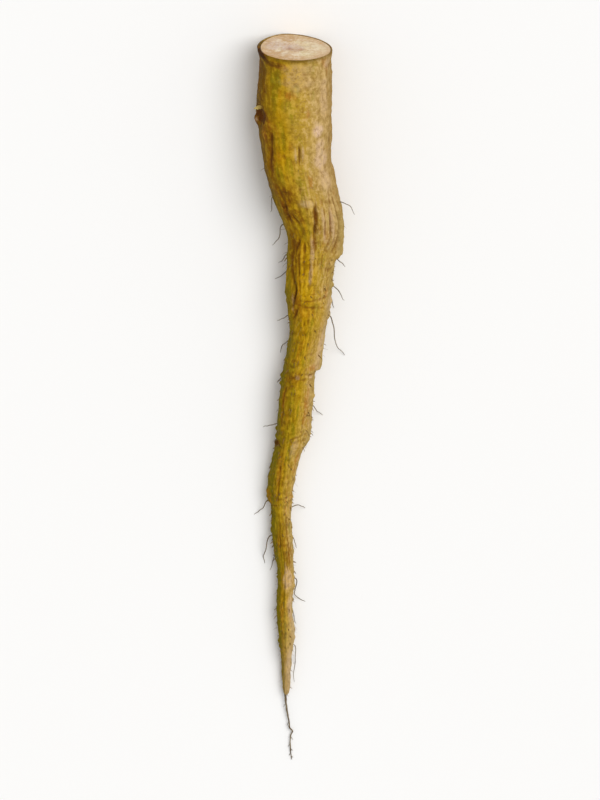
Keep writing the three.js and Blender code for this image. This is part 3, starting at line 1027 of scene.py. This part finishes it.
# ---- Finishes ----
def paint(code):
    """A colour's hexadecimal code as the linear colour with alpha that a shader socket takes."""
    share = np.array([code >> 16 & 255, code >> 8 & 255, code & 255]) / 255
    linear = np.where(share <= 0.04045, share / 12.92, ((share + 0.055) / 1.055) ** 2.4)
    return (*linear.tolist(), 1.0)


class Field:
    """A number, colour or direction that varies over a surface: one output socket. Arithmetic on it
    adds Math nodes."""

    def __init__(self, finish, socket):
        self.finish = finish
        self.socket = socket

    def _math(self, operation, first, second):
        return self.finish.node("Math", {"operation": operation}, {0: first, 1: second})

    def __add__(self, other):
        return self._math("ADD", self, other)

    def __sub__(self, other):
        return self._math("SUBTRACT", self, other)

    def __rsub__(self, other):
        return self._math("SUBTRACT", other, self)

    def __mul__(self, other):
        return self._math("MULTIPLY", self, other)

    __radd__ = __add__
    __rmul__ = __mul__


class Finish:
    """A material and its node tree. Numbers that are the same all over go on the shader's sockets."""

    def __init__(self, name, **constants):
        self.material = bpy.data.materials.new(name)
        self.material.use_nodes = True
        self.tree = self.material.node_tree
        self.shader = self.tree.nodes["Principled BSDF"]
        for socket, number in constants.items():
            self.shader.inputs[socket.replace("_", " ")].default_value = number

    def node(self, kind, settings=None, sockets=None, output=0):
        """Adds a node: its settings first, then the values or links of its sockets."""
        node = self.tree.nodes.new("ShaderNode" + kind)
        for setting, choice in (settings or {}).items():
            setattr(node, setting, choice)
        for socket, value in (sockets or {}).items():
            if isinstance(value, Field):
                self.tree.links.new(value.socket, node.inputs[socket])
            else:
                node.inputs[socket].default_value = value
        return Field(self, node.outputs[output])

    def feed(self, socket, field):
        """Links a field to one of the shader's sockets."""
        self.tree.links.new(field.socket, self.shader.inputs[socket])

    def stored(self, name):
        """A number stored on the mesh's points."""
        return self.node("Attribute", {"attribute_name": name}, output=2)

    def unrolled(self, around, along):
        """The unrolled place stored on the mesh's points: cells per millimetre round and along."""
        place = self.node("Attribute", {"attribute_name": "unrolled"}, output=1)
        return self.node("VectorMath", {"operation": "MULTIPLY"}, {0: place, 1: (around, around, along)})

    def in_object(self, density):
        """The place in the object: cells per millimetre."""
        place = self.node("TexCoord", output=3)
        return self.node("VectorMath", {"operation": "SCALE"}, {0: place, "Scale": density / MM})

    def noise(self, place, detail=3.0, roughness=0.55):
        """Cloudy noise, from 0 to 1 about 0.5, one cell to a unit of the place."""
        return self.node("TexNoise", None, {
            "Vector": place, "Scale": 1.0, "Detail": detail, "Roughness": roughness})

    def ramp(self, value, low, high, top=1.0):
        """0 up to low and top from high on, with a smooth step between them."""
        return self.node("MapRange", {"interpolation_type": "SMOOTHSTEP"}, {
            "Value": value, "From Min": low, "From Max": high, "To Min": 0.0, "To Max": top})

    def mix(self, share, first, second):
        """The first colour turned into the second by the share."""
        return self.node("Mix", {"data_type": "RGBA"}, {0: share, 6: first, 7: second}, 2)

    def coated(self, colour, coats):
        """The colour under the coats, each a share and the colour that it is turned into, in turn."""
        for share, coat in coats:
            colour = self.mix(share, colour, coat)
        return colour

    def bump(self, height, strength, distance):
        """A bump of that height in the shader's Normal."""
        self.feed("Normal", self.node("Bump", None, {
            "Height": height, "Strength": strength, "Distance": distance}))


# The colours of the bark.
GOLD = paint(0xB48A02)
OCHRE = paint(0xAE8C2A)
TAN = paint(0xAE9056)
PALE_GOLD = paint(0xCCA42A)
PALE_TAN = paint(0xD2B27A)
BROWN_GOLD = paint(0x7C5A06)
BROWN_TAN = paint(0x88682E)
OLIVE_TAN = paint(0x9C8848)
UMBER = paint(0x6E3E0A)
DARK_UMBER = paint(0x42220A)
BLUSH = paint(0xDABAA2)
MOSS = paint(0x7C7A0A)
RUST = paint(0xAE5E18)
GREYED = paint(0xB8A07C)
DARK_GOLD = paint(0x7E6E08)
# colours of the painted shade on the left edge
BARK_SHADE = paint(0x5A420A)
OLIVE_SHADE = paint(0x6C6408)
EARTHY = paint(0xA08048)
RIND = paint(0x5A4218)
# painted shade for the left end of the cut's rim
PAINTED_RIM_SHADE = paint(0x34200A)


def skin_finish():
    """Ochre bark: gold on the left flank and tan on the right, partly its own tone and partly painted
    shade on the left and painted light on the right, clouded with olive and amber, with brown and
    pale fibres along it, grainy at the crown, with painted highlight on crests and painted shade in
    hollows, furrows and creases, painted shade towards the left of the lower root and along the
    left and right edges, greyer at the tip, earthy underneath and with a brown rind round the cut,
    which is darkest where the stain at its left end lies, as painted shade."""
    skin = Finish("root_skin", Specular_IOR_Level=0.06)
    ramp = skin.ramp
    patchy = skin.noise(skin.unrolled(0.34, 0.16), 2.0)
    clouds = skin.noise(skin.unrolled(0.2, 0.07), 3.0)
    fibres = skin.noise(skin.unrolled(0.95, 0.07), 4.0, 0.6)
    threads = skin.noise(skin.unrolled(2.6, 0.2), 3.0, 0.6)
    rings = skin.noise(skin.unrolled(0.14, 1.3), 3.0)
    mottle = skin.noise(skin.unrolled(0.85, 0.65), 2.0, 0.6)
    blotches = skin.noise(skin.in_object(0.7), 3.0, 0.6)
    grain = skin.noise(skin.in_object(1.9), 2.0, 0.6)
    painted_relief_shading, moss, rust, blush = (skin.stored(name) for name in ("painted_relief_shading", "moss", "rust", "blush"))
    side, under, down = (skin.stored(name) for name in ("flank", "under", "down"))
    stain = skin.stored("stain") * (1 - blush * 0.6)

    # how much each kind of mark shows, down the root
    crown = ramp(down, 0.2, 0.06)
    fibrous = 1 - crown * 0.65 - ramp(down, 0.4, 0.5, 0.3)
    blotched = ramp(down, 0.36, 0.5, 0.6) + ramp(down, 0.7, 0.85, 0.4) + crown * 0.35
    streaked = ramp(fibres, 0.3, 0.6)
    patched = streaked * (1 + ramp(down, 0.3, 0.42, 0.5))
    below_crown = ramp(down, 0.17, 0.25)

    # from the left flank at -1 to the right at 1, whose colours are partly the skin's own tone and
    # partly painted light and shade, and the painted shade down the left edge
    flank = side + clouds * 0.8 - 0.4 - ramp(down, 0.2, 0.32, 0.32)
    edge = side - clouds * 0.3 - ramp(down, 0.4, 0.7, 0.3)
    # cover of the painted shade on the left edge: less underneath, on moss, rust and blush and by the
    # tip, and broken up by the mottle
    left_shade_cover = 1 - ramp(under + (clouds + mottle + fibres) * 0.7 - 1.05, 0.05, 0.65)
    left_shade_cover = left_shade_cover * (1 - moss * 0.6 - rust * 0.7 - blush) * (1 - ramp(down, 0.78, 0.92, 0.7))
    left_shade_cover = left_shade_cover * (0.6 + ramp(mottle + grain + threads, 1.75, 1.25, 0.8))

    tanned = ramp(flank + ramp(under + mottle * 0.6, 0.1, 0.8), -0.3, 0.5)
    pale = skin.mix(tanned, PALE_GOLD, PALE_TAN)
    brown = skin.mix(tanned, BROWN_GOLD, BROWN_TAN)
    # the colour of the painted shade on the left edge: brown by the crown, olive below it
    shade = skin.mix(below_crown, BARK_SHADE, OLIVE_SHADE)
    # the colour of the painted shade on the right edge
    right_edge_shade = skin.mix(below_crown, BROWN_TAN, OLIVE_TAN)
    rind = skin.mix(ramp(stain, 0.15, 0.6), RIND, UMBER)

    skin.feed("Base Color", skin.coated(GOLD, [
        # gold, ochre and tan from left to right: partly the skin's own tone, partly painted shade on the
        # left and painted light on the right
        (ramp(flank, -0.5, 0.1), OCHRE),
        (ramp(flank, 0.1, 0.8), TAN),
        (ramp(patchy - side * 0.1, 0.52, 0.66, 0.5) * patched, MOSS),
        (ramp(patchy, 0.43, 0.3, 0.4) * patched, RUST),
        # darker gold towards the left of the lower root: painted shade
        (ramp(down, 0.3, 0.6, 0.6) * ramp(side + clouds * 0.5, 1.1, -0.4), DARK_GOLD),
        (ramp(under + (clouds + mottle) * 0.5, 0.05, 1.0, 0.8), EARTHY),
        (moss * streaked * 0.8, MOSS),
        (rust * streaked * 0.85, RUST),
        (blush * ramp(grain, 0.15, 0.5, 0.85), BLUSH),
        (ramp(fibres, 0.52, 0.7, 0.6) * fibrous, brown),
        (ramp(fibres, 0.47, 0.32, 0.5) * fibrous, pale),
        (ramp(threads, 0.55, 0.72, 0.35) * fibrous, brown),
        (ramp(rings, 0.55, 0.7, 0.3), brown),
        (ramp(mottle, 0.51, 0.64, 0.42) * (1 + crown * 0.2), pale),
        (ramp(mottle, 0.48, 0.35, 0.45) * (1 + crown * 0.1), brown),
        (ramp(blotches, 0.52, 0.66, 0.55) * blotched, brown),
        (ramp(blotches, 0.47, 0.33, 0.5) * blotched, pale),
        (ramp(grain, 0.56, 0.7, 0.4), brown),
        (ramp(grain, 0.42, 0.3, 0.35), pale),
        (ramp(down + side * 0.04, 0.76, 0.92, 0.55), GREYED),
        # painted shade down the left edge: amber brown, then darker at the very edge
        (ramp(edge, -0.42, -0.8, 0.5) * left_shade_cover, BROWN_GOLD),
        (ramp(edge, -0.88, -1.15, 0.75) * left_shade_cover, shade),
        # painted highlight on crests
        (ramp(painted_relief_shading, -0.1, -0.9, 0.4), pale),
        (stain * ramp(mottle, 0.8, 0.35, 0.9), UMBER),
        (ramp(stain + grain * 0.5, 1.05, 1.25, 0.7), DARK_UMBER),
        # painted shade in hollows, furrows and creases
        (ramp(painted_relief_shading, 0.1, 0.75, 0.55), UMBER),
        (ramp(painted_relief_shading, 0.6, 1.0, 0.65), DARK_UMBER),
        # painted shade along the right edge
        (ramp(side + clouds * 0.3, 0.9, 1.15, 0.5), right_edge_shade),
        # the brown rind round the cut, wider at its left end as painted shade
        (skin.stored("rind"), rind),
        # painted shade at the left end of the cut's rim, where its stain lies
        (ramp(stain, 0.35, 1.15) * ramp(down, 0.02, 0.01, 0.8), PAINTED_RIM_SHADE),
    ]))
    skin.feed("Roughness", 0.66 + mottle * 0.2)
    skin.bump(threads * 0.5 + grain * 0.5 + rings * 0.3, 0.6, 0.18 * MM)
    return skin.material


# The colours of the flesh.
CREAM = paint(0xD4BC98)
PINKISH = paint(0xC0A89C)
YELLOW_CREAM = paint(0xCEBC90)
WHITISH = paint(0xE2D4BC)
CORE_BROWN = paint(0x9C6E50)
TANNED = paint(0xB8905E)


def flesh_finish():
    """Cut flesh: cream with a pinkish cloud on one side and a creamy one on the other, fine rays out
    from the middle, strokes and blots, a brown arc in front of the core and a tan band under the
    bark."""
    flesh = Finish("cut_flesh", Roughness=0.5, Specular_IOR_Level=0.35)
    ramp = flesh.ramp
    radius = flesh.stored("radius")
    rays = flesh.noise(flesh.unrolled(1.1, 0.1), 3.0, 0.6)
    strokes = flesh.noise(flesh.node("VectorMath", {"operation": "MULTIPLY"}, {
        0: flesh.in_object(1.0), 1: (0.22, 1.0, 1.1)}), 3.0, 0.6)
    clouds = flesh.noise(flesh.in_object(0.3), 2.0)
    blots = flesh.noise(flesh.in_object(0.75), 2.0, 0.6)
    grain = flesh.noise(flesh.in_object(1.5), 3.0, 0.6)
    flesh.feed("Base Color", flesh.coated(CREAM, [
        (ramp(clouds, 0.4, 0.62), YELLOW_CREAM),
        (flesh.stored("pinkish") * 0.8, PINKISH),
        (flesh.stored("tanned") * 0.8, TANNED),
        (ramp(rays, 0.5, 0.68, 0.6), WHITISH),
        (ramp(rays, 0.46, 0.3, 0.55), TANNED),
        (ramp(strokes, 0.54, 0.68, 0.55), WHITISH),
        (ramp(strokes, 0.46, 0.32, 0.5), PINKISH),
        (ramp(blots, 0.49, 0.7, 0.6), TANNED),
        (ramp(blots, 0.48, 0.3, 0.55), WHITISH),
        (ramp(radius, 5.6, 9.4, 0.55), TANNED),
        (flesh.stored("creamy") * 0.5, flesh.mix(clouds, WHITISH, YELLOW_CREAM)),
        (ramp(radius, 3.4, 1.2, 0.45), PINKISH),
        (ramp(radius, 1.3, 0.3, 0.2), TANNED),
        (ramp(grain, 0.5, 0.72, 0.5), TANNED),
        (flesh.stored("core_front") * ramp(strokes, 0.3, 0.55, 0.85), CORE_BROWN),
    ]))
    flesh.bump(rays * 0.4 + grain * 0.6, 0.35, 0.12 * MM)
    return flesh.material


# The colours of the hairs and of the flake.
HAIR_BROWN = paint(0x5A4A36)
HAIR_GREY = paint(0x86785E)
STUB_BROWN = paint(0x6E5424)
STRAW = paint(0xD0B868)


def flake_finish():
    """Bark at its fast end, straw where its torn inner side shows and brown again at the tip."""
    flake = Finish("bark_flake", Roughness=0.85, Specular_IOR_Level=0.1)
    streaks = flake.noise(flake.unrolled(1.6, 0.9), 3.0, 0.65)
    free = flake.stored("free") + streaks * 0.9 - 0.45
    flake.feed("Base Color", flake.coated(BROWN_GOLD, [
        (flake.ramp(free, 0.25, 0.6), STRAW),
        (flake.ramp(streaks, 0.5, 0.66, 0.6), BROWN_TAN),
        (flake.ramp(free, 0.8, 1.0, 0.8), BROWN_TAN),
    ]))
    flake.bump(streaks, 0.6, 0.1 * MM)
    return flake.material


def clouded_finish(name, dark, pale):
    """Hairs: one colour clouded with another."""
    hair = Finish(name, Roughness=0.8, Specular_IOR_Level=0.25)
    patchy = hair.noise(hair.in_object(0.9), 3.0, 0.6)
    grain = hair.noise(hair.in_object(5.0), 2.0)
    hair.feed("Base Color", hair.mix(hair.ramp(patchy, 0.35, 0.7), dark, pale))
    hair.bump(grain, 0.4, 0.05 * MM)
    return hair.material


# ---- Pieces ----
def add_object(name, data):
    """A new object in the scene, at the origin."""
    added = bpy.data.objects.new(name, data)
    bpy.context.scene.collection.objects.link(added)
    return added


def make_piece(name, points, faces, material, slot, numbers):
    """A closed mesh that rides on the root and stands for it. Each point's channels are its place in
    millimetres and, where numbers are named, its unrolled place and those numbers, which are stored
    on the mesh for the finish."""
    mesh = bpy.data.meshes.new(name)
    mesh.vertices.add(len(points))
    mesh.vertices.foreach_set("co", (points[:, :3] * MM).ravel())
    mesh.loops.add(faces.size)
    mesh.loops.foreach_set("vertex_index", faces.ravel().astype(np.int32))
    mesh.polygons.add(len(faces))
    mesh.polygons.foreach_set("loop_start", np.arange(0, faces.size, 3, dtype=np.int32))
    mesh.update(calc_edges=True)
    mesh.polygons.foreach_set("use_smooth", np.ones(len(faces), bool))
    if numbers:
        unrolled = mesh.attributes.new("unrolled", "FLOAT_VECTOR", "POINT")
        unrolled.data.foreach_set("vector", points[:, 3:6].ravel())
    for channel, number in enumerate(numbers, 6):
        mesh.attributes.new(number, "FLOAT", "POINT").data.foreach_set("value", points[:, channel])
    mesh.materials.append(material)
    piece = add_object(name, mesh)
    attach(piece, "root")
    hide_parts("salsify_root")


def crown_shift():
    """How far the middle of the cut lies from the frame's X = 0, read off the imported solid."""
    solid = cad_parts["salsify_root"].data
    places = np.empty(len(solid.vertices) * 3)
    solid.vertices.foreach_get("co", places)
    places = places.reshape(-1, 3) / MM
    on_cut = places[:, 1] > HIGH[1] - 0.01
    return (places[on_cut, 0].min() + places[on_cut, 0].max()) / 2


def make_root():
    """Every piece of the root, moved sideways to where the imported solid's crown is."""
    shift = crown_shift()
    dark_hair = clouded_finish("rootlet", HAIR_BROWN, HAIR_GREY)
    stub_hair = clouded_finish("rootlet_stub", STUB_BROWN, BROWN_TAN)
    skin = skin_grid()
    face = cut_face_grid(skin[FACE_RIM_ROW, :, :3])
    pieces = [
        ("skin", skin[None], skin_finish(), "root_skin", SKIN_NUMBERS),
        ("bark_flake", flake_rings(), flake_finish(), "root_skin", FLAKE_NUMBERS),
        ("cut_face", face[None], flesh_finish(), "cut_flesh", FACE_NUMBERS),
        ("side_rootlets", rootlet_rings(), dark_hair, "rootlet", ()),
        ("rootlet_stubs", short_hair_rings(*STUBS), stub_hair, "rootlet", ()),
        ("root_hairs", short_hair_rings(*HAIRS), dark_hair, "rootlet", ()),
        ("thread", thread_rings(), dark_hair, "rootlet", ()),
        ("thread_twigs", twig_rings(), dark_hair, "rootlet", ()),
    ]
    for name, rings, finish, slot, numbers in pieces:
        points, faces = closed_tubes(rings)
        points[:, 0] += shift
        make_piece(name, points, faces, finish, slot, numbers)


# ---- Table, light and camera ----
TABLE_HALF = 6.0
CAMERA_TILT = np.radians(20)
CAMERA_DISTANCE = 3.7
LENS = 600
CLIP_START = 0.1
TABLE_GREY = paint(0xF2F2F2)
KEY_FROM = (0.42, 0.42, 0.8)
KEY_STRENGTH = 2.1
KEY_SPREAD = np.radians(45)
KEY_WARMTH = (1.0, 0.985, 0.965)
SKY_COLOUR = (0.99, 0.99, 0.98, 1.0)
SKY_STRENGTH = 0.568
SEEN_SKY = 0.955


def make_table():
    """A plain pale table top, not part of the root."""
    mesh = bpy.data.meshes.new("table_top")
    corners = [(x * TABLE_HALF, y * TABLE_HALF, 0) for x, y in ((-1, -1), (1, -1), (1, 1), (-1, 1))]
    mesh.from_pydata(corners, [], [(0, 1, 2, 3)])
    mesh.materials.append(Finish("table_top", Roughness=0.9, Base_Color=TABLE_GREY).material)
    table = add_object("table_top", mesh)


def make_lights():
    """Soft studio light: one broad key from the upper right and a pale sky, which the camera sees as
    bright as the table."""
    light = bpy.data.lights.new("key", "SUN")
    light.energy = KEY_STRENGTH
    light.angle = KEY_SPREAD
    light.color = KEY_WARMTH
    add_object("key", light).rotation_euler = Vector(KEY_FROM).to_track_quat("Z", "Y").to_euler()

    world = bpy.data.worlds.new("pale_room")
    world.use_nodes = True
    nodes, links = world.node_tree.nodes, world.node_tree.links
    seen = nodes.new("ShaderNodeLightPath").outputs["Is Camera Ray"]
    level = nodes.new("ShaderNodeMapRange")
    level.inputs["To Min"].default_value = SKY_STRENGTH
    level.inputs["To Max"].default_value = SEEN_SKY
    links.new(seen, level.inputs["Value"])
    links.new(level.outputs["Result"], nodes["Background"].inputs["Strength"])
    nodes["Background"].inputs["Color"].default_value = SKY_COLOUR
    bpy.context.scene.world = world


def make_camera():
    """Looks down on the middle of the lying root, from 20 degrees towards the crown, which is at the
    top of the view."""
    camera = add_object("camera", bpy.data.cameras.new("camera"))
    camera.data.lens = LENS
    camera.data.clip_start = CLIP_START
    camera.data.clip_end = 4 * TABLE_HALF
    middle = (CAD_BOX[0][1] + CAD_BOX[1][1]) / 2
    camera.location = (0, middle + CAMERA_DISTANCE * np.sin(CAMERA_TILT),
                       CAMERA_DISTANCE * np.cos(CAMERA_TILT))
    camera.rotation_euler = (-CAMERA_TILT, 0, 0)
    bpy.context.scene.camera = camera


make_root()
make_table()
make_lights()
make_camera()
bpy.context.scene.view_settings.view_transform = "Standard"
